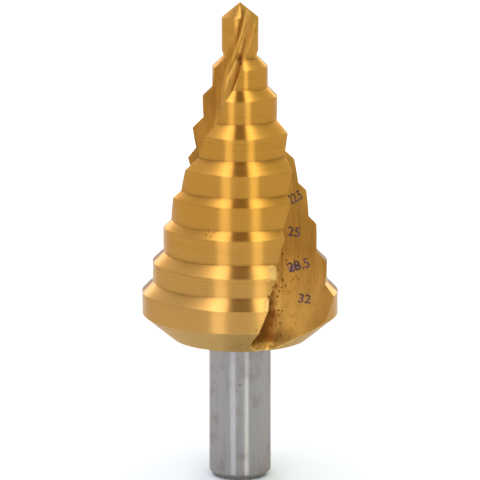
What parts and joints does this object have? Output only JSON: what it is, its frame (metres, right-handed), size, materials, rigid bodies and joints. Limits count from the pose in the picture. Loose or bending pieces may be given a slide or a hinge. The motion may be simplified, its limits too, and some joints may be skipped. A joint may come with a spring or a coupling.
{
  "type": "step drill",
  "caption": "Stepped conical drill bit with spiral flutes, a split point and a round shank with flats, for opening up holes in sheet.",
  "frame": {"origin": "centre of the flat end face of the shank, on the drill's axis", "axes": "+Z runs along the axis from the shank end to the point; -Y faces the front view; the cutting edges turn from -Y towards +X"},
  "size_m": [0.0316, 0.0318, 0.0779],
  "materials": {
    "drill_steel": "ground high-speed steel; gold-coloured coating on the stepped head, bare steel on the shank"
  },
  "bodies": {
    "root": {"step_drill": "drill_steel"}
  },
  "joints": []
}
